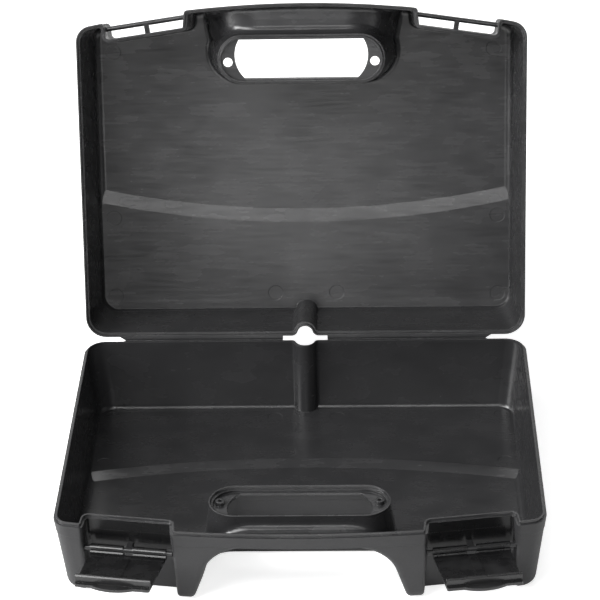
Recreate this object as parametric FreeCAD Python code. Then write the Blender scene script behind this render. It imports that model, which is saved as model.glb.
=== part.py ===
"""Hard tool case of the film-hinge type, lid open, both latches open. Millimetres, +Z up.

The base and lid are two like shells that meet at a parting plane. Both are worked out in the
case frame: hinge line along X at y = 0, front towards -Y, parting plane at z = 0, and the lid
closed. The finished pieces are then set down with the middle of the flat underside at the
origin, the lid turned open about the hinge line and the latches turned out about their bars.
"""
import FreeCAD, Part
import math
import os

V = FreeCAD.Vector

# Driving dimensions of the case
half_width = 175.0          # half the width, read at the hinge line
length = 268.0              # hinge line to the middle of the front edge
shell_depth = 61.2          # parting plane to the outer face of one shell
front_radius = 850.0        # the long arc of the front edge
rear_setback = 3.0          # hinge line to the rear wall at the rim
rear_corner_radius = 16.0
front_corner_radius = 13.0
panel_edge_radius = 8.0
draft_share = 0.095         # wall lean: inset per depth
sharp_angle = 25.0          # faces that meet at more than this have a sharp edge
wall = 2.4
overrun = 12.0              # how far cutters run past what they cut
close = 0.02                # nearer than this counts as the same place
nearby = 0.5                # nearer than this to a face counts as on it

# Rim: proud band, raised tongue on the base, rebate in the lid
band_height = 9.5
band_proud = 0.35
tongue_height = 2.2
tongue_width = 1.2
rim_clearance = 0.3

# Latch recesses
recess_centre_share = 0.696     # of half the width, sideways from the middle
recess_width_share = 0.348      # of half the width
recess_setback = 22.5       # middle of the front edge back to the recess wall, on its centre line
recess_lean_share = 0.02    # each side wall opens this much per depth
recess_flare_share = 0.1     # and this much per length towards the front
recess_corner_radius = 3.0
recess_edge_radius = 2.8    # front and panel edges of the recess
recess_inner_radius = 2.0   # the same edges, inside the case

# Latch bars, one per recess in each shell, with a post in the middle
bar_radius = 1.9
bar_reach = 5.8             # recess wall to the bar
bar_height = 21.5           # parting plane to the bar
post_width = 3.8
post_height = 3.8

# Handle: a ring at the parting plane, open through both shells, with a grip in front of it
ring_setback = 43.6         # middle of the front edge back to the middle of the ring
ring_half_length_share = 0.3709     # of half the width, outside of the ring wall
ring_half_width = 18.9
well_end_share = 0.17       # lean of the well's round ends per depth
opening_half_width = 15.4
opening_rear_share = 0.2486     # of half the width, as the next two
opening_widest_share = 0.2966
opening_front_share = 0.2771
opening_widest_offset = 4.0
web_drop = 2.4              # rim to the web
web_thickness = 2.2
boss_place_share = 0.3269   # of half the width, sideways from the middle
boss_offset = 2.2           # ring middle back towards the hinge
boss_radius = 3.3
boss_bore_radius = 1.4
boss_hole_radius = 3.7
boss_top = 0.8              # above the parting plane
grip_depth = 11.3           # parting plane to the underside of the grip
arch_top_share = 0.2162     # of half the width, half the arch's flat top at the front
arch_corner_share = 0.1943      # of half the width, radius of the arch's corners
leg_width = 11.3            # the arch to the recess's side wall, at the panel and the front
well_overlap = 5.1          # the arch's feet inside the well's ends, at the ring's middle
arch_edge_radius = 4.0      # round the front and panel edges of the space under the grip
valley_radius = 6.0         # where the arch runs into the well of the ring

# Rear groove between the two hinge films
groove_depth = 7.9
groove_radius = 6.3
groove_shoulder_radius = 5.0

# Hinge flanges and films
film_start = 17.8           # sideways from the middle
film_margin = 26.0          # side of the case to the end of the film
flange_thickness = 1.8
flange_end_taper = 5.0
film_clearance = 0.3        # hinge line to the flange tips
film_thickness = 0.5

# Arc step in the floor and in the lid's panel
step_height = 1.6
step_share = 0.334          # of the length, hinge line to the middle of the ramp
step_ramp = 11.0
step_radius = 800.0
underside_rim = 14.0        # width of the rim left standing round the outer recess

# Ejector pin marks: shares of half the width sideways, and of the length from the hinge line
mark_radius = 6.0
mark_depth = 0.2
mark_shares = ((0.143, 0.0933), (0.8943, 0.0877), (0.8914, 0.3302), (0.8714, 0.8358))

# Latch, in its closed attitude
latch_side_gap = 2.85       # latch to each side wall of the recess
latch_side_share = 0.022    # how much each side closes in per length towards the hook
latch_plate = 2.0
latch_plate_offset = 2.6    # pivot axis to the plate's inner face
knuckle_radius = 3.3
knuckle_gap = 7.0
pivot_clearance = 0.05
hook_clearance = 0.35
hook_reach = 2.8            # past the pivot axis, towards the case
hook_thickness = 2.6
tab_length = 2.8
tab_bulge = 4.2
tab_bulge_width = 30.0
strip_width = 6.5
strip_height = 0.35
plate_tail = 2.6            # below the pivot axis
slot_low_angle = -45.0      # the C of the knuckle is open between these two angles
slot_high_angle = 32.0
slot_facets = 8

# Attitudes in which the case stands
lid_open_angle = 107.0
latch_open_angle = 80.5

# Worked out
recess_centre = half_width * recess_centre_share
recess_width = half_width * recess_width_share
recess_distance = length - recess_setback
bar_distance = recess_distance + bar_reach
ring_distance = length - ring_setback
ring_half_length = half_width * ring_half_length_share
opening_rear_half_length = half_width * opening_rear_share
opening_widest_half_length = half_width * opening_widest_share
opening_front_half_length = half_width * opening_front_share
boss_place = half_width * boss_place_share
arch_top_half_width = half_width * arch_top_share
arch_corner_radius = half_width * arch_corner_share
arch_foot_half_width = recess_centre - recess_width / 2.0 - recess_lean_share * shell_depth - leg_width
well_foot_half_length = ring_half_length + well_end_share * shell_depth
arch_narrowing = arch_foot_half_width - well_foot_half_length + well_overlap
film_end = half_width - film_margin
step_distance = length * step_share
latch_width = recess_width - 2.0 * latch_side_gap
wall_outer = band_proud
wall_inner = band_proud + wall
tongue_outer = wall_inner - tongue_width
long_depth = shell_depth + overrun
front_centre_y = front_radius - length
recess_angle = math.degrees(math.asin(recess_centre / front_radius))
bar_span = 2.0 * bar_height


def edges_where(shape, test):
    """The edges of a shape whose middle point passes a test."""
    found = []
    for edge in shape.Edges:
        middle = edge.valueAt((edge.FirstParameter + edge.LastParameter) / 2.0)
        if test(edge, middle):
            found.append(edge)
    return found


def ruled(wires):
    """A straight-sided solid between two like wires."""
    return Part.makeLoft(wires, True, True)


def trapezium(inset, height):
    """The plan at one height: rear edge and both sides, with the front left long."""
    rear = rear_setback + inset
    far = length + 2.0 * overrun
    points = []
    for side, distance in ((-1, rear), (1, rear), (1, far), (-1, far)):
        points.append(V(side * (half_width - inset), -distance, height))
    return Part.makePolygon(points + [points[0]])


def is_upright(edge):
    """True for an edge that runs from one height to another."""
    ends = [vertex.Z for vertex in edge.Vertexes]
    return len(ends) == 2 and abs(ends[0] - ends[1]) > wall


def block(inset, top):
    """The case's plan, drawn in by an inset, drafted and with round upright corners."""
    lean = draft_share * top
    prism = ruled([trapezium(inset, 0), trapezium(inset + lean, top)])
    bow = Part.makeCone(front_radius - inset, front_radius - inset - lean, top,
                        V(0, front_centre_y, 0), V(0, 0, 1))
    solid = prism.common(bow)
    rear = edges_where(solid, lambda edge, at: is_upright(edge) and at.y > -length / 2.0)
    solid = solid.makeFillet(max(rear_corner_radius - inset, wall), rear)
    front = edges_where(solid, lambda edge, at: is_upright(edge) and at.y < -length / 2.0)
    return solid.makeFillet(max(front_corner_radius - inset, wall), front)


def rounded_block(inset, top, radius):
    """A block whose top edge is rounded all the way round."""
    solid = block(inset, top)
    rim = edges_where(solid, lambda edge, at: abs(at.z - top) < close)
    return solid.makeFillet(radius, rim)


def drift(outwards):
    """How far across a point moves, in a recess, on its way straight to the front."""
    return -outwards * math.tan(math.radians(recess_angle))


def recess_half_at(depth):
    """Half the recess's width at a depth below the rim."""
    return recess_width / 2.0 + recess_lean_share * depth


def in_recess(side, across, outwards, height):
    """A point given in a recess's own directions: across, outwards and up."""
    angle = math.radians(recess_angle)
    x = recess_centre + across * math.cos(angle) + outwards * math.sin(angle)
    y = -recess_distance + across * math.sin(angle) - outwards * math.cos(angle)
    return V(side * x, y, height)


def recess_void(side, grow):
    """The space of one latch recess, open to the front and to the panel."""
    wires = []
    for height in (-overrun, long_depth + overrun):
        half = recess_half_at(height) + grow
        back = -grow - draft_share * height
        front = length - recess_distance + overrun
        left = drift(front - back) - recess_flare_share * (front - back)
        right = drift(front - back) + recess_flare_share * (front - back)
        corners = ((-half, back), (half, back), (half + right, front), (-half + left, front))
        points = [in_recess(side, across, outwards, height) for across, outwards in corners]
        wires.append(Part.makePolygon(points + [points[0]]))
    void = ruled(wires)
    back_edges = edges_where(void, lambda edge, at: is_upright(edge) and at.y > -recess_distance)
    return void.makeFillet(recess_corner_radius + grow, back_edges)


def stadium(half_length, half_width_here, height):
    """A stadium outline about the middle of the ring."""
    reach = half_length - half_width_here
    y = -ring_distance
    a = V(-reach, y - half_width_here, height)
    b = V(reach, y - half_width_here, height)
    c = V(reach, y + half_width_here, height)
    d = V(-reach, y + half_width_here, height)
    right = Part.Arc(b, V(half_length, y, height), c).toShape()
    left = Part.Arc(d, V(-half_length, y, height), a).toShape()
    return Part.Wire([Part.makeLine(a, b), right, Part.makeLine(c, d), left])


def well_void(grow):
    """The space inside the handle ring, which widens towards the panel."""
    wires = []
    for height in (-overrun, long_depth + overrun):
        long_out = grow - wall_inner + well_end_share * height
        wide_out = grow - wall_inner + draft_share * height
        wires.append(stadium(ring_half_length + long_out, ring_half_width + wide_out, height))
    return ruled(wires)


def arch_lean():
    """How far the arch's legs lean outwards: they touch the round corners and end at the feet."""
    across = arch_foot_half_width - arch_top_half_width
    down = shell_depth - grip_depth - arch_corner_radius
    return math.acos(arch_corner_radius / math.hypot(across, down)) - math.atan2(down, across)


def arch_outline(narrowing, grow, y):
    """The front view of the space under the grip, at one distance from the hinge line."""
    lean = arch_lean()
    radius = arch_corner_radius + grow
    top = grip_depth - grow
    reach = arch_top_half_width - narrowing
    centre_z = top + radius
    low = long_depth + overrun
    turned = math.pi / 2.0 - lean
    middle = turned / 2.0
    side_x = reach + radius * math.sin(turned)
    side_z = centre_z - radius * math.cos(turned)
    foot_x = side_x + (low - side_z) * math.tan(lean)
    edges = []
    mid_x = reach + radius * math.sin(middle)
    mid_z = centre_z - radius * math.cos(middle)
    edges.append(Part.makeLine(V(-foot_x, y, low), V(-side_x, y, side_z)))
    edges.append(Part.Arc(V(-side_x, y, side_z), V(-mid_x, y, mid_z), V(-reach, y, top)).toShape())
    edges.append(Part.makeLine(V(-reach, y, top), V(reach, y, top)))
    edges.append(Part.Arc(V(reach, y, top), V(mid_x, y, mid_z), V(side_x, y, side_z)).toShape())
    edges.append(Part.makeLine(V(side_x, y, side_z), V(foot_x, y, low)))
    edges.append(Part.makeLine(V(foot_x, y, low), V(-foot_x, y, low)))
    return Part.Wire(edges)


def arch_void(grow):
    """The space under the grip, open to the front and to the panel."""
    widening = arch_narrowing * overrun / ring_setback
    rear = arch_outline(arch_narrowing, grow, -ring_distance)
    front = arch_outline(-widening, grow, -length - overrun)
    return ruled([rear, front])


def groove_outline(grow, lean, height):
    """The plan of the rear groove: round shoulders that lead into a round hollow."""
    hollow = groove_radius + grow
    shoulder = groove_shoulder_radius - grow
    face = -rear_setback - lean
    centre_y = face - groove_depth + groove_radius
    shoulder_y = face - groove_shoulder_radius
    span = groove_radius + groove_shoulder_radius
    shoulder_x = math.sqrt(span ** 2 - (centre_y - shoulder_y) ** 2)
    meet_x = shoulder_x * hollow / span
    meet_y = centre_y + (shoulder_y - centre_y) * hollow / span
    turn = math.atan2(shoulder_x, centre_y - shoulder_y) / 2.0
    mid_x = shoulder_x - shoulder * math.sin(turn)
    mid_y = shoulder_y + shoulder * math.cos(turn)
    edge_y = shoulder_y + shoulder
    back_y = overrun
    start = V(-shoulder_x, edge_y, height)
    end = V(shoulder_x, edge_y, height)
    left = V(-meet_x, meet_y, height)
    right = V(meet_x, meet_y, height)
    edges = []
    edges.append(Part.makeLine(V(-shoulder_x, back_y, height), start))
    edges.append(Part.Arc(start, V(-mid_x, mid_y, height), left).toShape())
    edges.append(Part.Arc(left, V(0, centre_y - hollow, height), right).toShape())
    edges.append(Part.Arc(right, V(mid_x, mid_y, height), end).toShape())
    edges.append(Part.makeLine(end, V(shoulder_x, back_y, height)))
    edges.append(Part.makeLine(V(shoulder_x, back_y, height), V(-shoulder_x, back_y, height)))
    return Part.Wire(edges)


def groove_void(grow):
    """The space of the rear groove."""
    low, high = -overrun, long_depth + overrun
    wires = [groove_outline(grow, draft_share * height, height) for height in (low, high)]
    return ruled(wires)


def cut_voids(solid, grow):
    """Take the recesses, the groove and the handle's space out of a block."""
    voids = [recess_void(-1, grow), recess_void(1, grow), groove_void(grow)]
    voids += [well_void(grow), arch_void(grow)]
    for void in voids:
        solid = solid.cut(void)
    return solid


def on_front(at, inset):
    """True for a point on the long arc of the front face."""
    reach = math.hypot(at.x, at.y - front_centre_y)
    return abs(reach - (front_radius - inset - draft_share * at.z)) < nearby


def round_recess_edges(solid, inset):
    """Round the upright front edges on both sides of each recess."""
    def on_edge(edge, at):
        across = abs(abs(at.x) - recess_centre)
        return is_upright(edge) and on_front(at, inset) \
            and recess_width / 3.0 < across < recess_width / 2.0 + overrun

    return solid.makeFillet(max(recess_edge_radius - inset, wall / 4.0), edges_where(solid, on_edge))


def is_sharp(solid, edge, at):
    """True where the two faces at an edge meet at an angle."""
    faces = solid.ancestorsOfType(edge, Part.Face)
    if len(faces) != 2:
        return False
    normals = [face.normalAt(*face.Surface.parameter(at)) for face in faces]
    return normals[0].dot(normals[1]) < math.cos(math.radians(sharp_angle))


def drawn_shape(inset, depth, panel_radius, recess_radius):
    """A rounded block less the voids: valleys under the grip rounded first, then all mouths."""
    solid = cut_voids(rounded_block(inset, depth, panel_radius), inset)
    panel_zone = depth - panel_radius
    leg_middle = recess_centre - recess_width / 2.0 - panel_edge_radius

    def in_valley(edge, at):
        return -recess_distance - wall < at.y < -ring_distance - wall \
            and wall < at.z < panel_zone and abs(at.x) < leg_middle and is_sharp(solid, edge, at)

    def in_front(edge, at):
        low = at.z > panel_zone or on_front(at, inset)
        return low and at.z > wall and at.y < -ring_distance + ring_half_width + panel_edge_radius \
            and is_sharp(solid, edge, at)

    def on_recess(edge, at):
        return in_front(edge, at) and abs(at.x) > leg_middle

    def on_arch(edge, at):
        return in_front(edge, at) and abs(at.x) < leg_middle

    solid = solid.makeFillet(valley_radius, edges_where(solid, in_valley))
    solid = solid.makeFillet(recess_radius, edges_where(solid, on_recess))
    return solid.makeFillet(arch_edge_radius, edges_where(solid, on_arch))


def slab(low, high):
    """Everything between two heights."""
    size = 4.0 * length
    return Part.makeBox(size, size, high - low, V(-size / 2.0, -size / 2.0, low))


def step_side(low, high):
    """Everything on the hinge side of the arc step, with its ramp between two heights."""
    centre = V(0, -(step_distance + step_radius), low)
    half = step_ramp / 2.0
    bow = Part.makeCone(step_radius + half, step_radius - half, high - low, centre, V(0, 0, 1))
    return slab(low, high).cut(bow)


def rim_region(inset, low, high):
    """The plan of the case and its voids at an inset, between two heights."""
    solid = block(inset, long_depth)
    for void in (recess_void(-1, inset), recess_void(1, inset), groove_void(inset),
                 well_void(inset)):
        solid = solid.cut(void)
    return round_recess_edges(solid, inset).common(slab(low, high))


def shell():
    """One shell with a plain rim, its panel up, from the parting plane at z = 0."""
    outer = drawn_shape(wall_outer, shell_depth, panel_edge_radius, recess_edge_radius)
    band = rim_region(0, 0, band_height)
    inner_depth = shell_depth - wall
    inner = drawn_shape(wall_inner, inner_depth, panel_edge_radius - wall, recess_inner_radius)
    floor_low = inner_depth - step_height
    plateau = step_side(floor_low, inner_depth)
    inner = inner.cut(plateau)
    outer_recess = step_side(shell_depth - step_height, shell_depth)
    outer_recess = outer_recess.common(block(underside_rim, shell_depth))
    outer_recess = outer_recess.cut(groove_void(underside_rim / 2.0))
    solid = outer.fuse(band).cut(inner).cut(outer_recess)
    return add_marks(solid, floor_low, inner_depth)


def add_marks(solid, floor_low, inner_depth):
    """Shallow round ejector marks in the inside of the panel."""
    for side in (-1, 1):
        for across_share, distance_share in mark_shares:
            distance = length * distance_share
            face = floor_low if distance < step_distance else inner_depth
            at = V(side * half_width * across_share, -distance, face - mark_depth)
            solid = solid.cut(Part.makeCylinder(mark_radius, 2.0 * mark_depth, at, V(0, 0, 1)))
    return solid


def opening_outline(height):
    """The clear hand opening: two long sides and two bowed ends."""
    rear = -ring_distance + opening_half_width
    front = -ring_distance - opening_half_width
    widest = -ring_distance - opening_widest_offset
    points = []
    for side in (-1, 1):
        points.append((V(side * opening_rear_half_length, rear, height),
                       V(side * opening_widest_half_length, widest, height),
                       V(side * opening_front_half_length, front, height)))
    left, right = points
    edges = [Part.makeLine(left[0], right[0]), Part.Arc(*right).toShape(),
             Part.makeLine(right[2], left[2]), Part.Arc(left[2], left[1], left[0]).toShape()]
    return Part.Wire(edges)


def ring_web():
    """The web inside the ring, with the hand opening through it."""
    grow = wall / 2.0
    full = well_void(grow).common(slab(web_drop, web_drop + web_thickness))
    opening = Part.Face(opening_outline(0)).extrude(V(0, 0, grip_depth))
    return full.cut(opening)


def upright(across, distance, radius, low, high):
    """A round upright at a place given from the middle and from the hinge line."""
    return Part.makeCylinder(radius, high - low, V(across, -distance, low), V(0, 0, 1))


def bar_piece(side):
    """One latch bar from wall to wall of its recess, with its post to the recess wall."""
    out = bar_distance - recess_distance
    half = recess_half_at(bar_height) + wall / 2.0
    middle = drift(out)
    start = in_recess(side, middle - half, out, bar_height)
    end = in_recess(side, middle + half, out, bar_height)
    bar = Part.makeCylinder(bar_radius, (end - start).Length, start, end - start)
    back = -wall_outer - draft_share * bar_height - wall / 2.0
    corners = ((middle - post_width / 2.0, back), (middle + post_width / 2.0, back),
               (middle + post_width / 2.0, out), (middle - post_width / 2.0, out))
    low = bar_height - post_height / 2.0
    points = [in_recess(side, across, outwards, low) for across, outwards in corners]
    post = Part.Face(Part.makePolygon(points + [points[0]])).extrude(V(0, 0, post_height))
    return bar.fuse(post)


def flange(side):
    """One hinge flange along the rear wall, tapered at its outer end."""
    root = -rear_setback - wall_outer
    tip = -film_clearance
    points = [V(side * film_start, root, 0), V(side * film_start, tip, 0),
              V(side * (film_end - flange_end_taper), tip, 0), V(side * film_end, root, 0)]
    return Part.Face(Part.makePolygon(points + [points[0]])).extrude(V(0, 0, flange_thickness))


def half_case():
    """What the base and the lid have in common, panel up."""
    solid = shell()
    for extra in (ring_web(), bar_piece(-1), bar_piece(1), flange(-1), flange(1)):
        solid = solid.fuse(extra)
    return solid


def make_lid(half):
    """The lid: a rebate inside its rim and holes in its web for the base's bosses."""
    lid = half.cut(rim_region(tongue_outer - rim_clearance, -overrun, tongue_height + rim_clearance))
    for side in (-1, 1):
        hole = upright(side * boss_place, ring_distance - boss_offset,
                       boss_hole_radius, 0, grip_depth)
        lid = lid.cut(hole)
    return lid


def make_base(half):
    """The base: the same shell turned over, with a tongue on its rim and two bosses."""
    base = half.mirror(V(0, 0, 0), V(0, 0, 1))
    tongue = rim_region(tongue_outer, -wall, tongue_height).cut(
        rim_region(wall_inner, -overrun, tongue_height + overrun))
    base = base.fuse(tongue)
    for side in (-1, 1):
        place = (side * boss_place, ring_distance - boss_offset)
        base = base.fuse(upright(*place, boss_radius, -web_drop - web_thickness / 2.0, boss_top))
        base = base.cut(upright(*place, boss_bore_radius, -web_drop, boss_top + overrun))
    return base


def ring_sector(inner, outer, low_angle, high_angle, start, span):
    """A sector of a tube along X, angles in degrees from +Z towards the case."""
    radius = 2.0 * outer
    points = [V(start, 0, 0)]
    for index in range(slot_facets + 1):
        angle = math.radians(low_angle + (high_angle - low_angle) * index / slot_facets)
        points.append(V(start, radius * math.sin(angle), radius * math.cos(angle)))
    wedge = Part.Face(Part.makePolygon(points + [points[0]])).extrude(V(span, 0, 0))
    tube = Part.makeCylinder(outer, span, V(start, 0, 0), V(1, 0, 0))
    tube = tube.cut(Part.makeCylinder(inner, span, V(start, 0, 0), V(1, 0, 0)))
    return tube, wedge


def profile_prism(points, start, span):
    """A prism along X from a side view given as (towards the case, up) pairs."""
    corners = [V(start, y, z) for y, z in points]
    return Part.Face(Part.makePolygon(corners + [corners[0]])).extrude(V(span, 0, 0))


def closed_latch():
    """A latch, closed, with its pivot axis along X through the origin and the case at +Y."""
    face = -latch_plate_offset
    back = face - latch_plate
    hook_low = bar_span + bar_radius + hook_clearance
    hook_high = hook_low + hook_thickness
    half = latch_width / 2.0
    chamfer = hook_thickness / 3.0
    side = [(back, -plate_tail), (face, -plate_tail), (face, hook_low), (hook_reach, hook_low),
            (hook_reach, hook_high - chamfer), (hook_reach - chamfer, hook_high),
            (face, hook_high), (face, hook_high + tab_length), (back, hook_high + tab_length)]
    solid = profile_prism(side, -half, latch_width)
    bulge = tab_bulge_width / 2.0
    low = hook_high + tab_length
    arc = Part.Arc(V(bulge, back, low), V(0, back, low + tab_bulge), V(-bulge, back, low))
    outline = Part.Wire([Part.makeLine(V(-bulge, back, low), V(bulge, back, low)), arc.toShape()])
    solid = solid.fuse(Part.Face(outline).extrude(V(0, latch_plate, 0)))
    for sign in (-1, 1):
        closed_in = latch_side_share * hook_high
        wedge = [V(sign * half, -overrun, 0), V(sign * (half - closed_in), -overrun, hook_high),
                 V(sign * (half - closed_in), -overrun, low + overrun),
                 V(sign * (half + overrun), -overrun, low + overrun),
                 V(sign * (half + overrun), -overrun, 0)]
        side_cut = Part.Face(Part.makePolygon(wedge + [wedge[0]])).extrude(V(0, 2.0 * overrun, 0))
        solid = solid.cut(side_cut)
    tip_half = half - latch_side_share * hook_high
    corners = edges_where(solid, lambda edge, at: abs(abs(at.x) - tip_half) < strip_height
                          and at.z > hook_high and abs(at.y - (face + back) / 2.0) < strip_height)
    solid = solid.makeFillet(tab_length / 2.0, corners)
    notch = Part.makeBox(knuckle_gap, 2.0 * overrun, knuckle_radius + plate_tail,
                         V(-knuckle_gap / 2.0, -overrun, -plate_tail))
    solid = solid.cut(notch)
    strip = Part.makeBox(strip_width, strip_height + latch_plate / 2.0, hook_low - knuckle_radius,
                         V(-strip_width / 2.0, face - latch_plate / 2.0, knuckle_radius))
    solid = solid.fuse(strip)
    bore = bar_radius + pivot_clearance
    span = (latch_width - knuckle_gap) / 2.0
    for start in (-half, knuckle_gap / 2.0):
        tube, wedge = ring_sector(bore, knuckle_radius, slot_low_angle, slot_high_angle,
                                  start, span)
        solid = solid.fuse(tube.cut(wedge))
        solid = solid.cut(Part.makeCylinder(bore, span, V(start, 0, 0), V(1, 0, 0)))
    return solid


def turned(point, angle):
    """A point (y, z) of the closed lid after the lid opens by an angle, in degrees."""
    turn = math.radians(-angle)
    y, z = point
    return (y * math.cos(turn) - z * math.sin(turn), y * math.sin(turn) + z * math.cos(turn))


def hinge_film(side):
    """The thin strip that joins the two flange tips, bent as it is with the lid open."""
    base_tip = [(-film_clearance, 0), (-film_clearance, -film_thickness)]
    lid_tip = [turned(point, lid_open_angle) for point in
               ((-film_clearance, film_thickness), (-film_clearance, 0))]
    bend = math.radians(90.0 - lid_open_angle / 2.0)
    outer = (film_thickness * math.cos(bend), -film_thickness * math.sin(bend))
    points = base_tip + [outer] + lid_tip
    start = film_start if side > 0 else -film_end + flange_end_taper
    return profile_prism(points, start, film_end - flange_end_taper - film_start)


def placed(shape):
    """A piece moved from the case frame to the frame of the finished model."""
    result = shape.copy()
    result.translate(V(0, length / 2.0, shell_depth))
    return result


def place_latch(side):
    """A latch on its base bar, opened by the rest angle."""
    latch = closed_latch()
    latch.rotate(V(0, 0, 0), V(1, 0, 0), latch_open_angle)
    latch.rotate(V(0, 0, 0), V(0, 0, 1), side * recess_angle)
    out = bar_distance - recess_distance
    at = in_recess(side, drift(out), out, -bar_height)
    latch.translate(at)
    return latch


def main():
    """Build every piece, set it down in the shared frame and write it."""
    half = half_case()
    lid = make_lid(half)
    lid.rotate(V(0, 0, 0), V(1, 0, 0), -lid_open_angle)
    pieces = {
        "base_shell": make_base(half),
        "lid_shell": lid,
        "hinge_film_left": hinge_film(-1),
        "hinge_film_right": hinge_film(1),
        "latch_left": place_latch(-1),
        "latch_right": place_latch(1),
    }
    os.makedirs("parts", exist_ok=True)
    for name, shape in pieces.items():
        solid = placed(shape)
        print(name, solid.isValid(), len(solid.Solids), round(solid.Volume, 1))
        solid.exportStep("parts/" + name + ".step")


main()
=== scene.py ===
"""The looks of an open hard case.

The shells are grained outside and satin inside, the latches are smooth, the floor is white.
"""

import math

import bpy
import numpy as np
from mathutils import Matrix, Vector


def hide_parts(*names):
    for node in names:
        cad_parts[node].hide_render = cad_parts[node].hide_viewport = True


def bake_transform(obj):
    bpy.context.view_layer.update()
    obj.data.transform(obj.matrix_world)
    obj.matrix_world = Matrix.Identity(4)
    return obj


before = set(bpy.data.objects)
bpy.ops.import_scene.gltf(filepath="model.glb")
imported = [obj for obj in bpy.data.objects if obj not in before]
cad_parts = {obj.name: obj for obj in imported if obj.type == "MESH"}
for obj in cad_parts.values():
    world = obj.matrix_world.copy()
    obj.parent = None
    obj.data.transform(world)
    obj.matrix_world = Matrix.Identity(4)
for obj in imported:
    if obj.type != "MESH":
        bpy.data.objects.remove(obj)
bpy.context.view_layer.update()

MM = 0.001
WHITE = (1.0, 1.0, 1.0, 1.0)

# The case: its hinge line and the angle that the lid stands open
HINGE_Y = 134.0 * MM
HINGE_Z = 61.2 * MM
LID_OPEN = math.radians(107.0)
BASE_FORWARD = (0.0, -1.0, 0.0)
BASE_TO_PANEL = (0.0, 0.0, -1.0)
LID_FORWARD = (0.0, -math.cos(LID_OPEN), math.sin(LID_OPEN))
LID_TO_PANEL = (0.0, math.sin(LID_OPEN), math.cos(LID_OPEN))

# Latch recess: sideways from the middle, forward from the hinge, deep from the parting plane
RECESS_CENTRE = 121.8 * MM
RECESS_HALF_WIDTH = 32.0 * MM
RECESS_SLANT = 0.1448               # how far its wall falls back per length sideways
WALL_FORWARD = 244.0 * MM
WALL_REACH = 3.0 * MM
SMOOTH_DEPTH = 23.6 * MM
BAR_FORWARD = 251.0 * MM
BAR_REACH = 5.0 * MM
BAR_DEPTH = 21.5 * MM
BAR_HALF_HEIGHT = 2.3 * MM

# Hinge strip: sideways span, then (Y, Z) places in millimetres from the hinge line
STRIP_SPAN = (17.8 * MM, 144.0 * MM)
STRIP_INNER = ((-0.30, 0.0), (0.088, 0.287))
STRIP_OUTER = ((-0.30, -0.50), (0.402, -0.297), (0.566, 0.141))
STRIP_POINTS_ACROSS = 9
STRIP_POINTS_ALONG = 13

# Shell plastic
OUTWARD_LIMIT = 0.004               # a face that looks more than this to the panel is outside
SQUARE_TO_PANEL = (-0.97, -0.80)    # between these an inner face turns from panel to side wall
NOISE_SPREAD = (0.2, 0.8)           # most of a noise lies between these
GRAIN_SPREAD = (0.3, 0.7)
CLOUDS, SMUDGES = 16.0, 60.0        # these and the next are lumps to the metre
FINE_GRAIN, COARSE_GRAIN = 1500.0, 620.0
MILL_LINES, MILL_STREAKS = 800.0, 430.0
SMUDGE_STRETCH, LINE_STRETCH, STREAK_STRETCH = 0.6, 0.03, 0.09     # along X, under 1 is longer
NO_STREAK = 0.5                     # what the side walls have in the streaks' place
SMUDGE_SHARE, COARSE_SHARE = 0.5, 0.4
INSIDE_DARK, INSIDE_LIGHT = (0.0170, 0.0170, 0.0178, 1.0), (0.0290, 0.0290, 0.0303, 1.0)
OUTSIDE_DARK, OUTSIDE_LIGHT = (0.0215, 0.0215, 0.0226, 1.0), (0.0275, 0.0275, 0.0288, 1.0)
# The latches' own black. The shell's recess wall behind each latch is also painted with it, as
# shade.
LATCH_BLACK_AND_SEAT_SHADE = (0.007, 0.007, 0.0074, 1.0)
RUBBED_BLACK = (0.011, 0.011, 0.0115, 1.0)
SATIN_ROUGHNESS, GRAIN_ROUGHNESS = (0.22, 0.31), (0.48, 0.58)
SATIN_GLOSS, GRAIN_GLOSS, SEAT_GLOSS = (0.38, 0.60), 0.42, 0.25
CLOUD_GLOSS = 0.12                  # how far the clouds shift the satin's gloss either way
STREAK_GLOSS = 0.13                 # and the mill streaks, on a fully milled panel
STREAK_ROUGHNESS = 0.012
STREAK_TONE = 0.22
SATIN_COAT, GRAIN_COAT, SHELL_COAT_ROUGHNESS = 0.12, 0.04, 0.16
SATIN_RELIEF, MILLED_RELIEF, GRAIN_RELIEF = 0.12, 0.12, 0.85
SHELL_RELIEF_HEIGHT = 0.10 * MM
SHELL_EDGE_RADIUS = 0.7 * MM
BASE_MILLED, LID_MILLED = 0.2, 1.0  # how strongly each shell's inside shows milling

# Latch plastic
RUBBED_PATCHES, ORANGE_PEEL = 60.0, 420.0       # lumps to the metre
RUBBED_COLOUR_SPREAD, RUBBED_ROUGH_SPREAD = (0.4, 0.7), (0.35, 0.7)
LATCH_ROUGHNESS = (0.24, 0.34)
LATCH_COAT, LATCH_COAT_ROUGHNESS = 0.3, 0.12
LATCH_RELIEF, LATCH_RELIEF_HEIGHT = 0.25, 0.08 * MM
LATCH_EDGE_RADIUS = 0.35 * MM
EDGE_SAMPLES = 6

# Floor: colour, and its own glow as the camera and as reflections see it
FLOOR_PAPER = (0.9, 0.9, 0.9, 1.0)
FLOOR_GLOW_SEEN, FLOOR_GLOW_MIRRORED = 0.72, 0.25
FLOOR_HALF, FLOOR_POINTS, FLOOR_DROP = 8.0, 5, 0.2 * MM

# Surround: even grey light, and where its two white walls start and end
EVEN_LIGHT = 0.04
BACKDROP_RISE = (-0.1, 0.5)
FRONT_WALL_FALL = (-0.95, -0.55)
FRONT_WALL_SIDE = (-0.05, 0.35)
FRONT_WALL_SHARE = 0.3

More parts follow.
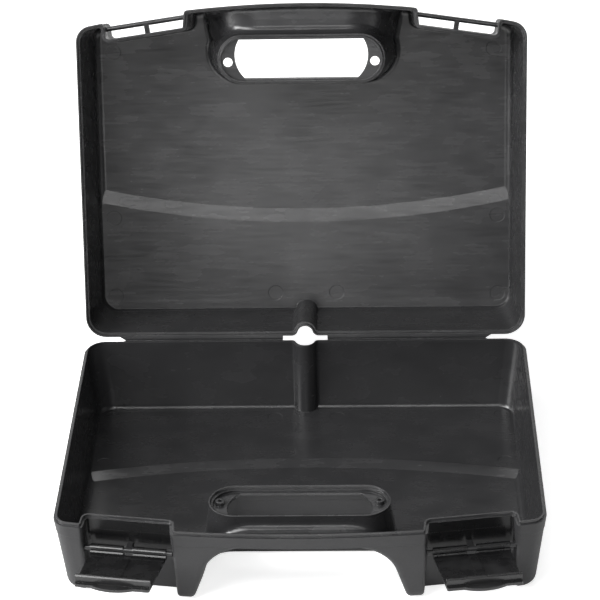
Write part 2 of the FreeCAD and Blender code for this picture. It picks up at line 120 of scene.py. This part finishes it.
# Lamps: name, place, target, size and watts
CASE_MIDDLE = (0.0, 0.08, 0.10)
SOFTBOX = (1.0, 1.0)
LAMPS = (
    ("left softbox", (-1.91, -0.54, 0.99), CASE_MIDDLE, SOFTBOX, 52.0),
    ("high left softbox", (-1.04, -0.96, 1.73), CASE_MIDDLE, SOFTBOX, 32.0),
    ("high right softbox", (0.44, -1.55, 1.51), CASE_MIDDLE, SOFTBOX, 3.5),
    ("overhead strip", (-0.2, -0.70, 2.05), CASE_MIDDLE, (1.3, 0.25), 6.0),
    ("step strip", (0.0, -2.00, 1.22), CASE_MIDDLE, (1.0, 0.2), 6.5),
    ("low front softbox", (-0.05, -1.00, 0.30), (-0.02, 0.19, 0.20), (0.3, 0.3), 0.65),
    ("back softbox", (0.0, 1.18, 2.00), CASE_MIDDLE, SOFTBOX, 12.0),
)

# Camera
CAMERA_PLACE = (0.046535, -1.432082, 1.016154)
CAMERA_YAW, CAMERA_PITCH, CAMERA_ROLL = -1.827, 30.38, -1.406     # degrees
FOCAL_LENGTH_IN_PIXELS, PICTURE_WIDTH_IN_PIXELS = 2296.087, 600.0
SENSOR_WIDTH = 36.0
CAMERA_CLIP = (0.05, 50.0)


class Nodes:
    """Puts a node tree together, one short call for each node."""

    def __init__(self, tree):
        self.tree = tree

    def node(self, kind, **settings):
        made = self.tree.nodes.new(kind)
        for key, value in settings.items():
            setattr(made, key, value)
        return made

    def feed(self, socket, value):
        """Link a socket to another node's output, or set it to a constant."""
        if isinstance(value, bpy.types.NodeSocket):
            self.tree.links.new(value, socket)
        else:
            socket.default_value = value

    def maths(self, operation, *values):
        made = self.node("ShaderNodeMath", operation=operation)
        for socket, value in zip(made.inputs, values):
            self.feed(socket, value)
        return made.outputs[0]

    def ramp(self, value, low, high, out_low, out_high, smooth=False):
        """A value that runs from out_low to out_high while the input runs from low to high."""
        made = self.node("ShaderNodeMapRange",
                         interpolation_type="SMOOTHSTEP" if smooth else "LINEAR")
        self.feed(made.inputs["Value"], value)
        for name, number in (("From Min", low), ("From Max", high),
                             ("To Min", out_low), ("To Max", out_high)):
            self.feed(made.inputs[name], number)
        return made.outputs["Result"]


class Recipe(Nodes):
    """A plastic: the nodes that feed one Principled shader."""

    def __init__(self, name):
        self.material = bpy.data.materials.new(name)
        self.material.use_nodes = True
        super().__init__(self.material.node_tree)
        self.shader = self.tree.nodes["Principled BSDF"]
        self.place = self.node("ShaderNodeTexCoord").outputs["Object"]

    def near(self, value, centre, reach):
        """1 where a value lies within reach of a centre, 0 elsewhere."""
        distance = self.maths("ABSOLUTE", self.maths("SUBTRACT", value, centre))
        return self.maths("LESS_THAN", distance, reach)

    def along(self, vector, direction):
        made = self.node("ShaderNodeVectorMath", operation="DOT_PRODUCT")
        self.feed(made.inputs[0], vector)
        made.inputs[1].default_value = direction
        return made.outputs["Value"]

    def from_hinge(self, direction):
        """How far a point lies from the hinge line along a direction, in metres."""
        start = -(direction[1] * HINGE_Y + direction[2] * HINGE_Z)
        return self.maths("ADD", self.along(self.place, direction), start)

    def noise(self, scale, detail=2.0, roughness=0.5, stretch=1.0, turn=0.0):
        """Noise of a scale in lumps to the metre, drawn out along X and turned about X."""
        mapping = self.node("ShaderNodeMapping")
        self.feed(mapping.inputs["Vector"], self.place)
        mapping.inputs["Rotation"].default_value = (turn, 0.0, 0.0)
        mapping.inputs["Scale"].default_value = (stretch, 1.0, 1.0)
        made = self.node("ShaderNodeTexNoise")
        self.feed(made.inputs["Vector"], mapping.outputs["Vector"])
        made.inputs["Scale"].default_value = scale
        made.inputs["Detail"].default_value = detail
        made.inputs["Roughness"].default_value = roughness
        return made.outputs["Fac"]

    def spread(self, noise, out_low=0.0, out_high=1.0):
        """A noise stretched so that most of it fills the range from out_low to out_high."""
        return self.ramp(noise, *NOISE_SPREAD, out_low, out_high)

    def mix(self, share, first, second, kind="FLOAT"):
        made = self.node("ShaderNodeMix", data_type=kind)
        self.feed(made.inputs["Factor"], share)
        self.feed(made.inputs["A"], first)
        self.feed(made.inputs["B"], second)
        return made.outputs["Result"]

    def blend_colours(self, share, first, second):
        return self.mix(share, first, second, kind="RGBA")

    def bump(self, height, distance, strength, under):
        """The normal under, tilted by a relief of a height over a distance in metres."""
        made = self.node("ShaderNodeBump")
        self.feed(made.inputs["Height"], height)
        made.inputs["Distance"].default_value = distance
        self.feed(made.inputs["Strength"], strength)
        self.feed(made.inputs["Normal"], under)
        return made.outputs["Normal"]

    def soft_edges(self, radius):
        """The normal with every sharp edge broken by a small radius, as moulded edges are."""
        made = self.node("ShaderNodeBevel", samples=EDGE_SAMPLES)
        made.inputs["Radius"].default_value = radius
        return made.outputs["Normal"]

    def facing(self, direction):
        """How squarely a face looks along a direction: 1 straight at it, 0 side-on, -1 away.

        Every wall leans with the draft, so along the direction from the parting plane to
        the panel the sign tells the outer faces from the inner ones.
        """
        turned = self.node("ShaderNodeVectorTransform", vector_type="NORMAL",
                           convert_from="WORLD", convert_to="OBJECT")
        self.feed(turned.inputs[0], self.node("ShaderNodeNewGeometry").outputs["True Normal"])
        return self.along(turned.outputs[0], direction)


def latch_seat_area(recipe, forward, to_panel):
    """1 on the wall behind a latch, down to its bar, and on the bar; 0 elsewhere. This is where
    the shell is smooth and painted near-black as shade.
    """
    ahead = recipe.from_hinge(forward)
    deep = recipe.from_hinge(to_panel)
    sideways = recipe.maths("ABSOLUTE", recipe.along(recipe.place, (1.0, 0.0, 0.0)))
    across = recipe.maths("SUBTRACT", sideways, RECESS_CENTRE)
    square_on = recipe.maths("ADD", ahead, recipe.maths("MULTIPLY", across, RECESS_SLANT))
    on_wall = recipe.maths("MULTIPLY", recipe.near(square_on, WALL_FORWARD, WALL_REACH),
                           recipe.maths("LESS_THAN", deep, SMOOTH_DEPTH))
    on_bar = recipe.maths("MULTIPLY", recipe.near(square_on, BAR_FORWARD, BAR_REACH),
                          recipe.near(deep, BAR_DEPTH, BAR_HALF_HEIGHT))
    return recipe.maths("MULTIPLY", recipe.near(sideways, RECESS_CENTRE, RECESS_HALF_WIDTH),
                        recipe.maths("MAXIMUM", on_wall, on_bar))


def shell_finish(name, forward, to_panel, milled):
    """Charcoal plastic: eroded grain outside, satin with mill lines and smudges inside.

    Forward and to_panel are the shell's own directions, from the hinge to the front and
    from the rim to the panel. The wall behind each latch, down to its bar, is smooth too,
    and it is painted near-black as shade.
    Milled is how strongly the inside shows the lines left by milling.
    """
    recipe = Recipe(name)
    shader = recipe.shader.inputs
    squareness = recipe.facing(to_panel)
    outside = recipe.maths("GREATER_THAN", squareness, OUTWARD_LIMIT)
    on_panel = recipe.ramp(squareness, *SQUARE_TO_PANEL, 1.0, 0.0)
    # The wall behind each latch and its bar: smooth and ungrained, and painted near-black as
    # shade.
    seat_smooth_and_shade = recipe.maths("MULTIPLY", outside, latch_seat_area(recipe, forward, to_panel))
    grained = recipe.maths("MULTIPLY", outside, recipe.maths("SUBTRACT", 1.0, seat_smooth_and_shade))

    turn = math.atan2(forward[2], forward[1])
    cloud = recipe.noise(CLOUDS, detail=3.0)
    smudge = recipe.noise(SMUDGES, detail=3.0, stretch=SMUDGE_STRETCH)
    fine = recipe.noise(FINE_GRAIN, roughness=0.6)
    coarse = recipe.noise(COARSE_GRAIN, detail=1.0)
    lines = recipe.noise(MILL_LINES, detail=3.0, roughness=0.7, stretch=LINE_STRETCH, turn=turn)
    streaks = recipe.noise(MILL_STREAKS, detail=1.0, stretch=STREAK_STRETCH, turn=turn)
    streaks = recipe.mix(on_panel, NO_STREAK, streaks)

    tone = recipe.mix(SMUDGE_SHARE, recipe.spread(cloud), recipe.spread(smudge))
    tone = recipe.mix(STREAK_TONE * milled, tone, recipe.spread(streaks))
    inside_colour = recipe.blend_colours(tone, INSIDE_DARK, INSIDE_LIGHT)
    outside_colour = recipe.blend_colours(tone, OUTSIDE_DARK, OUTSIDE_LIGHT)
    # Painted shade: the wall behind each latch and its bar take the near-black instead of the
    # inside colour.
    colour_with_seat_shade = recipe.blend_colours(seat_smooth_and_shade, inside_colour, LATCH_BLACK_AND_SEAT_SHADE)
    recipe.feed(shader["Base Color"],
                recipe.blend_colours(grained, colour_with_seat_shade, outside_colour))

    satin = recipe.maths("ADD", recipe.spread(smudge, *SATIN_ROUGHNESS),
                         recipe.spread(streaks, -STREAK_ROUGHNESS, STREAK_ROUGHNESS))
    rough = recipe.ramp(coarse, *GRAIN_SPREAD, *GRAIN_ROUGHNESS)
    recipe.feed(shader["Roughness"], recipe.mix(grained, satin, rough))

    streak_gloss = STREAK_GLOSS * milled
    gloss = recipe.maths("ADD", recipe.spread(smudge, *SATIN_GLOSS),
                         recipe.spread(cloud, -CLOUD_GLOSS, CLOUD_GLOSS))
    gloss = recipe.maths("ADD", gloss, recipe.spread(streaks, -streak_gloss, streak_gloss))
    gloss = recipe.mix(grained, gloss, GRAIN_GLOSS)
    recipe.feed(shader["Specular IOR Level"], recipe.mix(seat_smooth_and_shade, gloss, SEAT_GLOSS))
    shader["Coat Roughness"].default_value = SHELL_COAT_ROUGHNESS
    recipe.feed(shader["Coat Weight"], recipe.mix(grained, SATIN_COAT, GRAIN_COAT))

    relief = recipe.mix(grained, lines, recipe.mix(COARSE_SHARE, fine, coarse))
    strength = recipe.mix(grained, SATIN_RELIEF + MILLED_RELIEF * milled, GRAIN_RELIEF)
    recipe.feed(shader["Normal"], recipe.bump(relief, SHELL_RELIEF_HEIGHT, strength,
                                              recipe.soft_edges(SHELL_EDGE_RADIUS)))
    return recipe.material


def latch_finish():
    """Smooth black plastic with faint rubbed patches and a slight orange peel."""
    recipe = Recipe("latch black")
    shader = recipe.shader.inputs
    rubbed = recipe.noise(RUBBED_PATCHES, detail=4.0, roughness=0.6)
    peel = recipe.noise(ORANGE_PEEL)
    recipe.feed(shader["Base Color"], recipe.blend_colours(
        recipe.ramp(rubbed, *RUBBED_COLOUR_SPREAD, 0.0, 1.0), LATCH_BLACK_AND_SEAT_SHADE, RUBBED_BLACK))
    recipe.feed(shader["Roughness"],
                recipe.ramp(rubbed, *RUBBED_ROUGH_SPREAD, *LATCH_ROUGHNESS))
    shader["Coat Weight"].default_value = LATCH_COAT
    shader["Coat Roughness"].default_value = LATCH_COAT_ROUGHNESS
    recipe.feed(shader["Normal"], recipe.bump(peel, LATCH_RELIEF_HEIGHT, LATCH_RELIEF,
                                              recipe.soft_edges(LATCH_EDGE_RADIUS)))
    return recipe.material


def floor_finish():
    """White paper: white to the eye and in reflections, and it still takes a faint shadow."""
    material = bpy.data.materials.new("white floor")
    material.use_nodes = True
    material.node_tree.nodes.clear()
    nodes = Nodes(material.node_tree)
    paper = nodes.node("ShaderNodeBsdfDiffuse")
    paper.inputs["Color"].default_value = FLOOR_PAPER
    glow = nodes.node("ShaderNodeEmission")
    glow.inputs["Color"].default_value = WHITE
    rays = nodes.node("ShaderNodeLightPath").outputs
    mirrored = nodes.maths("MAXIMUM", rays["Is Glossy Ray"], rays["Is Transmission Ray"])
    seen = nodes.maths("MULTIPLY", rays["Is Camera Ray"], FLOOR_GLOW_SEEN)
    nodes.feed(glow.inputs["Strength"],
               nodes.maths("MULTIPLY_ADD", mirrored, FLOOR_GLOW_MIRRORED, seen))
    both = nodes.node("ShaderNodeAddShader")
    nodes.feed(both.inputs[0], paper.outputs[0])
    nodes.feed(both.inputs[1], glow.outputs[0])
    nodes.feed(nodes.node("ShaderNodeOutputMaterial").inputs["Surface"], both.outputs[0])
    return material


def surface(name, points, material, closed_round=False):
    """A mesh from a grid of points.

    Where closed_round is set, the second direction runs round to its start and the two
    ends are capped, so the mesh is a closed solid.
    """
    rows, columns = points.shape[:2]
    index = np.arange(rows * columns).reshape(rows, columns)
    following = np.roll(index, -1, axis=1)
    if not closed_round:
        index, following = index[:, :-1], following[:, :-1]
    quads = np.stack([index[:-1], index[1:], following[1:], following[:-1]], axis=-1)
    faces = quads.reshape(-1, 4).tolist()
    if closed_round:
        faces.append(index[0].tolist())
        faces.append(index[-1, ::-1].tolist())
    mesh = bpy.data.meshes.new(name)
    mesh.from_pydata(points.reshape(-1, 3).tolist(), [], faces)
    mesh.update()
    made = bpy.data.objects.new(name, mesh)
    bpy.context.scene.collection.objects.link(made)
    mesh.materials.append(material)
    return made


def hinge_strip(name, side, material):
    """The bending strip between the two flange tips.

    The inner face is the straight line between the tips. The outer face is the
    quadratic curve through its three points: P(s) = sum of P_i times the
    Lagrange weight of s at 0, 1/2 and 1. The closed section runs along X, and goes
    round from the inner face to the outer one, so that its faces point outwards.
    """
    s = np.linspace(0.0, 1.0, STRIP_POINTS_ACROSS)[:, None]
    weights = ((2 * s - 1) * (s - 1), 4 * s * (1 - s), s * (2 * s - 1))
    outer = sum(weight * np.array(point) for weight, point in zip(weights, STRIP_OUTER))
    first, last = np.array(STRIP_INNER)
    inner = first * (1 - s) + last * s
    ring = np.concatenate([inner, outer[::-1]]) * MM
    low, high = sorted(side * end for end in STRIP_SPAN)
    x = np.linspace(low, high, STRIP_POINTS_ALONG)
    points = np.empty((len(x), len(ring), 3))
    points[..., 0] = x[:, None]
    points[..., 1] = HINGE_Y + ring[None, :, 0]
    points[..., 2] = HINGE_Z + ring[None, :, 1]
    return surface(name, points, material, closed_round=True)


def area_lamp(name, place, target, size, power):
    """A soft rectangular lamp at a place, turned to face its target."""
    lamp = bpy.data.lights.new(name, "AREA")
    lamp.shape = "RECTANGLE"
    lamp.size, lamp.size_y = size
    lamp.energy = power
    made = bpy.data.objects.new(name, lamp)
    made.location = place
    made.rotation_mode = "QUATERNION"
    made.rotation_quaternion = (Vector(target) - Vector(place)).to_track_quat("-Z", "Y")
    bpy.context.scene.collection.objects.link(made)


def studio_surround():
    """A white backdrop behind and a white wall in front, both shown by reflections.

    The camera sees white all round. Light on the object comes from a dim, even grey.
    The backdrop comes in smoothly as the direction's Y rises. The front wall goes out as
    Y rises and, from its full share on the left, as X rises.
    """
    world = bpy.data.worlds.new("studio")
    bpy.context.scene.world = world
    world.use_nodes = True
    nodes = Nodes(world.node_tree)
    rays = nodes.node("ShaderNodeLightPath").outputs
    heading = nodes.node("ShaderNodeSeparateXYZ")
    nodes.feed(heading.inputs[0], nodes.node("ShaderNodeTexCoord").outputs["Generated"])
    x, y = heading.outputs["X"], heading.outputs["Y"]
    behind = nodes.ramp(y, *BACKDROP_RISE, 0.0, 1.0, smooth=True)
    ahead = nodes.maths("MULTIPLY", nodes.ramp(y, *FRONT_WALL_FALL, 1.0, 0.0, smooth=True),
                        nodes.ramp(x, *FRONT_WALL_SIDE, FRONT_WALL_SHARE, 0.0, smooth=True))
    walls = nodes.maths("MAXIMUM", behind, ahead)
    mirrored = nodes.maths("MAXIMUM", rays["Is Glossy Ray"], rays["Is Transmission Ray"])
    shown = nodes.maths("MAXIMUM", rays["Is Camera Ray"],
                        nodes.maths("MULTIPLY", mirrored, walls))
    strength = nodes.maths("ADD", EVEN_LIGHT, nodes.maths("MULTIPLY", shown, 1.0 - EVEN_LIGHT))
    background = nodes.tree.nodes["Background"].inputs
    background["Color"].default_value = WHITE
    nodes.feed(background["Strength"], strength)


def photo_camera():
    """The camera at the photograph's place: yaw, pitch and roll, then the focal length."""
    yaw, pitch, roll = (math.radians(angle) for angle in (CAMERA_YAW, CAMERA_PITCH, CAMERA_ROLL))
    forward = Vector((math.sin(yaw) * math.cos(pitch), math.cos(yaw) * math.cos(pitch),
                      -math.sin(pitch)))
    right = forward.cross(Vector((0.0, 0.0, 1.0))).normalized()
    up = right.cross(forward)
    right, up = (math.cos(roll) * right + math.sin(roll) * up,
                 -math.sin(roll) * right + math.cos(roll) * up)
    data = bpy.data.cameras.new("camera")
    data.sensor_width = SENSOR_WIDTH
    data.lens = FOCAL_LENGTH_IN_PIXELS / PICTURE_WIDTH_IN_PIXELS * SENSOR_WIDTH
    data.clip_start, data.clip_end = CAMERA_CLIP
    made = bpy.data.objects.new("camera", data)
    bpy.context.scene.collection.objects.link(made)
    turn = Matrix((right, up, -forward)).transposed().to_4x4()
    made.matrix_world = Matrix.Translation(CAMERA_PLACE) @ turn
    bpy.context.scene.camera = made


base_plastic = shell_finish("base shell plastic", BASE_FORWARD, BASE_TO_PANEL, BASE_MILLED)
lid_plastic = shell_finish("lid shell plastic", LID_FORWARD, LID_TO_PANEL, LID_MILLED)
latch_plastic = latch_finish()
for piece, plastic in (("base_shell", base_plastic), ("lid_shell", lid_plastic),
                       ("latch_left", latch_plastic), ("latch_right", latch_plastic)):
    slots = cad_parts[piece].data.materials
    slots.clear()
    slots.append(plastic)

for side, word in ((-1, "left"), (1, "right")):
    strip = hinge_strip("hinge_strip_" + word, side, base_plastic)
    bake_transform(strip)
    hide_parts("hinge_film_" + word)

spacing = np.linspace(-FLOOR_HALF, FLOOR_HALF, FLOOR_POINTS)
floor_x, floor_y = np.meshgrid(spacing, spacing, indexing="ij")
floor_points = np.stack([floor_x, floor_y, np.full_like(floor_x, -FLOOR_DROP)], -1)
ground = surface("floor", floor_points, floor_finish())

for lamp in LAMPS:
    area_lamp(*lamp)
studio_surround()

bpy.context.scene.view_settings.view_transform = "Standard"
photo_camera()
